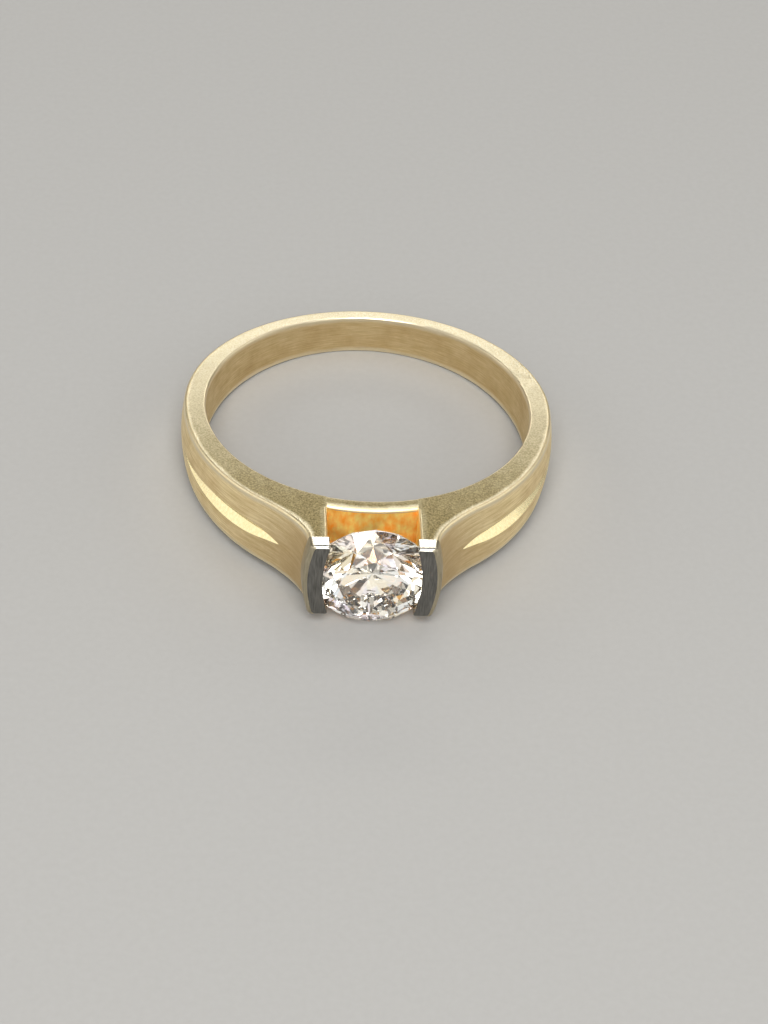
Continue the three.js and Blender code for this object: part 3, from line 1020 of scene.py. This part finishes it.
# the tips' faces, the loft's ends, take white gold painted dark as painted shade
TIP_METALS = [FACE_WHITE_PAINTED_SHADE, WHITE_GOLD, RUBBED_WHITE]
FACE_PAINTED_SHADE, BRIGHT, RUBBED = range(3)
TIP_FINISHES = {"end": FACE_PAINTED_SHADE, "outer": RUBBED, "groove": RUBBED, "edge": RUBBED}


def crescent(levels):
    """A crescent through levels along Y, each with how far its outside and its ends are drawn in."""
    stations = []
    rows = []
    for y, outside, ends in levels:
        inner, crown = Vector((TIP_INNER_X, y)), Vector((wall_outer_x(y) - outside, y))
        width = half_width(y) - ends
        section = half_section((crown - inner).length, width, EDGE_R, BORE_EDGE_R, hollow=True)
        points = station(inner, crown, section, shrink=ends)
        for spot in points:
            spot.x = max(spot.x, stone_room(spot.y, spot.z))
        rows.append(section)
        stations.append(points)
    return loft(stations, rows, lambda face, place: TIP_FINISHES.get(face, BRIGHT))


def tip():
    straight = FACE_Y + FACE_EDGE_R
    levels = [(mix(TIP_FOOT_Y, straight, step / TIP_STEPS), 0.0, 0.0) for step in range(TIP_STEPS + 1)]
    for step in range(1, FACE_ARC_STEPS + 1):
        turn = math.pi / 2 * step / FACE_ARC_STEPS
        drawn_in = 1 - math.cos(turn)
        y = straight - FACE_EDGE_R * math.sin(turn)
        levels.append((y, FACE_EDGE_R * drawn_in, FACE_END_R * drawn_in))
    return crescent(levels)


for side in ("right", "left"):
    mirrored = side == "left"
    piece(f"tip_{side}", tip(), TIP_METALS, mirrored)
    joint = crescent([(WALL_TOP_Y, 0.0, 0.0), (TIP_FOOT_Y, 0.0, 0.0)])
    piece(f"solder_tip_{side}", joint, TIP_METALS, mirrored)

# %% [markdown]
# ## Table, light and camera
#
# Jewellery is lit with large soft sources, because metal shows nothing but what surrounds it. The
# table is a pale matt sheet. The key softbox, high in front, shines through the stone's crown and
# into the head. A wide, low one in front gives the stone something to sparkle with. Behind, a high
# one brightens the flat side that faces up, a narrow strip draws the bright line along the back of
# the band and whitens the ends of the tips, and a faint low one lights the bore. The two at the
# sides light the grooves and the edges of the shoulders.


# %% Table
def paper():
    made, tree, shader = new_material("table_matt_pale_paper")
    fibre = 0.35  # mm
    place = add(tree, "TexCoord")
    noise = add(
        tree,
        "TexNoise",
        {"Vector": place.outputs["Object"], "Scale": 1 / (fibre * MM), "Detail": 3.0},
    )
    colour = add(
        tree,
        "Mix",
        {FACTOR: noise.outputs["Fac"], COLOUR_A: linear("#A9A7A4"), COLOUR_B: linear("#AFAEAB")},
        data_type="RGBA",
    )
    tree.links.new(colour.outputs[COLOUR_OUT], shader.inputs["Base Color"])
    shader.inputs["Roughness"].default_value = 0.8
    shader.inputs["Specular IOR Level"].default_value = 0.2
    return made


TABLE_SIZE = 0.8  # metres
sheet = bmesh.new()
bmesh.ops.create_grid(sheet, x_segments=4, y_segments=4, size=TABLE_SIZE / 2)
table_data = bpy.data.meshes.new("table")
sheet.to_mesh(table_data)
sheet.free()
table_data.materials.append(paper())
table = bpy.data.objects.new("table", table_data)
bpy.context.scene.collection.objects.link(table)
print("the table is", TABLE_SIZE, "m square")


# %% Light
SOFTBOXES = (
    # name, azimuth and elevation in degrees, distance, width and height in metres, radiance, colour
    ("softbox_front_key", -5, 58, 0.42, 0.28, 0.22, 7.8, "#FFFFFF"),
    ("softbox_front_wide", 0, 24, 0.45, 0.8, 0.34, 1.05, "#FFFFFF"),
    ("softbox_rear_key", 168, 66, 0.45, 0.24, 0.2, 3.0, "#FFFFFF"),
    ("softbox_rear_strip", 178, 29, 0.42, 0.34, 0.034, 5.5, "#FFFBF2"),
    ("softbox_rear_low", 180, 16, 0.42, 0.45, 0.08, 1.0, "#FFFBF2"),
    ("softbox_left", -90, 22, 0.4, 0.5, 0.28, 1.15, "#FFFDF6"),
    ("softbox_right", 90, 22, 0.4, 0.5, 0.28, 1.15, "#FFFDF6"),
)


def towards(azimuth, elevation):
    """The direction from the ring at these angles in radians. Azimuth 0 is in front."""
    level = math.cos(elevation)
    return Vector((math.sin(azimuth) * level, -math.cos(azimuth) * level, math.sin(elevation)))


def softbox(name, azimuth, elevation, distance, width, height, radiance, colour):
    """A rectangular soft light that faces the ring."""
    back = towards(math.radians(azimuth), math.radians(elevation))
    light = bpy.data.lights.new(name, "AREA")
    light.shape = "RECTANGLE"
    light.size, light.size_y = width, height
    light.energy = radiance * math.pi * width * height
    light.color = linear(colour)[:3]
    made = bpy.data.objects.new(name, light)
    made.location = back * distance
    made.rotation_euler = (-back).to_track_quat("-Z", "Y").to_euler()
    made.visible_camera = False
    bpy.context.scene.collection.objects.link(made)


for each in SOFTBOXES:
    softbox(*each)
print("lights:", [light.name for light in bpy.data.lights])

# %% [markdown]
# Between the softboxes the metal sees the room, which is mid grey so that the finishes keep their
# contrast. Where the camera looks past the edge of the table it sees a paler backdrop.

# %% Room and backdrop
world = bpy.data.worlds.new("grey_room_pale_backdrop")
bpy.context.scene.world = world
world.use_nodes = True
world.node_tree.nodes.clear()
path = add(world.node_tree, "LightPath")
tone = add(
    world.node_tree,
    "Mix",
    {FACTOR: path.outputs["Is Camera Ray"], COLOUR_A: linear("#424242"), COLOUR_B: linear("#C2C0BB")},
    data_type="RGBA",
)
glow = add(world.node_tree, "Background", {"Color": tone.outputs[COLOUR_OUT], "Strength": 1.0})
add(world.node_tree, "OutputWorld", {"Surface": glow.outputs[0]})
print("world:", world.name)

# %% [markdown]
# The camera looks down at the head from in front, a little from the left and slightly rolled, as
# one holds a camera over a ring on a table. It is close, with the field of view of a short
# telephoto lens, so the head comes forward a little. The sensor's width is that of the long side.

# %% Camera
CAMERA_AZIMUTH, CAMERA_ELEVATION, CAMERA_ROLL = (math.radians(value) for value in (-4.6, 44.12, 4.71))
CAMERA_DISTANCE = 137.2  # mm
CAMERA_AIM = Vector((1.035, -1.285, -1.229))  # mm
CAMERA_LENS, CAMERA_SENSOR = 91.4, 36.0  # mm
back = towards(CAMERA_AZIMUTH, CAMERA_ELEVATION)
camera_data = bpy.data.cameras.new("camera")
camera_data.lens = CAMERA_LENS
camera_data.sensor_width = CAMERA_SENSOR
camera_data.clip_start, camera_data.clip_end = 0.005, 10.0
camera = bpy.data.objects.new("camera", camera_data)
camera.location = (CAMERA_AIM + back * CAMERA_DISTANCE) * MM
turned = (-back).to_track_quat("-Z", "Y").to_matrix() @ Matrix.Rotation(CAMERA_ROLL, 3, "Z")
camera.rotation_euler = turned.to_euler()
bpy.context.scene.collection.objects.link(camera)
bpy.context.scene.camera = camera
print("camera at", [round(value / MM, 1) for value in camera.location], "mm")

# %% [markdown]
# Light goes round and round inside a diamond before it finds a way out, and to and fro between the
# gold faces inside the head, so the light paths may be long. The standard view shows the metals'
# colours as they were picked.

# %% Light paths and view
scene = bpy.context.scene
scene.cycles.max_bounces = 24
scene.cycles.glossy_bounces = 16
scene.cycles.transmission_bounces = 16
scene.view_settings.view_transform = "Standard"
